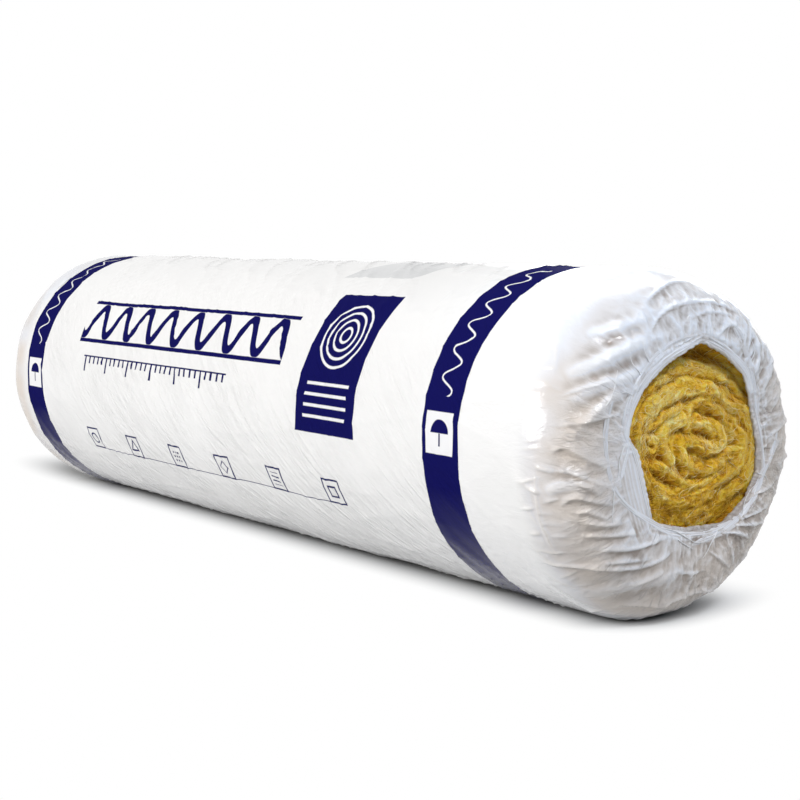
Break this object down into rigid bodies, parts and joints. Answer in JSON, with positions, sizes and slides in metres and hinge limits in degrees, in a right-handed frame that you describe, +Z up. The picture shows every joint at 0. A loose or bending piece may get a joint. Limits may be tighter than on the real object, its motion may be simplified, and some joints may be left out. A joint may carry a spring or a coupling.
{
  "type": "insulation roll",
  "caption": "Rolled yellow glass-wool mat in a white printed film sleeve that is gathered over both ends round an open mouth; unrolled to insulate roofs, walls and floors.",
  "frame": {"origin": "on the floor, below the middle of the roll", "axes": "+X along the roll's axis to the end with the large mouth, +Z up"},
  "size_m": [1.225, 0.3449, 0.345],
  "materials": {
    "film": "white polyethylene film, soft gloss, printed with dark blue bands and blocks",
    "wool": "loose yellow glass wool, matt and fibrous"
  },
  "bodies": {
    "root": {"film_wrap": "film", "wool_roll": "wool"}
  },
  "joints": []
}
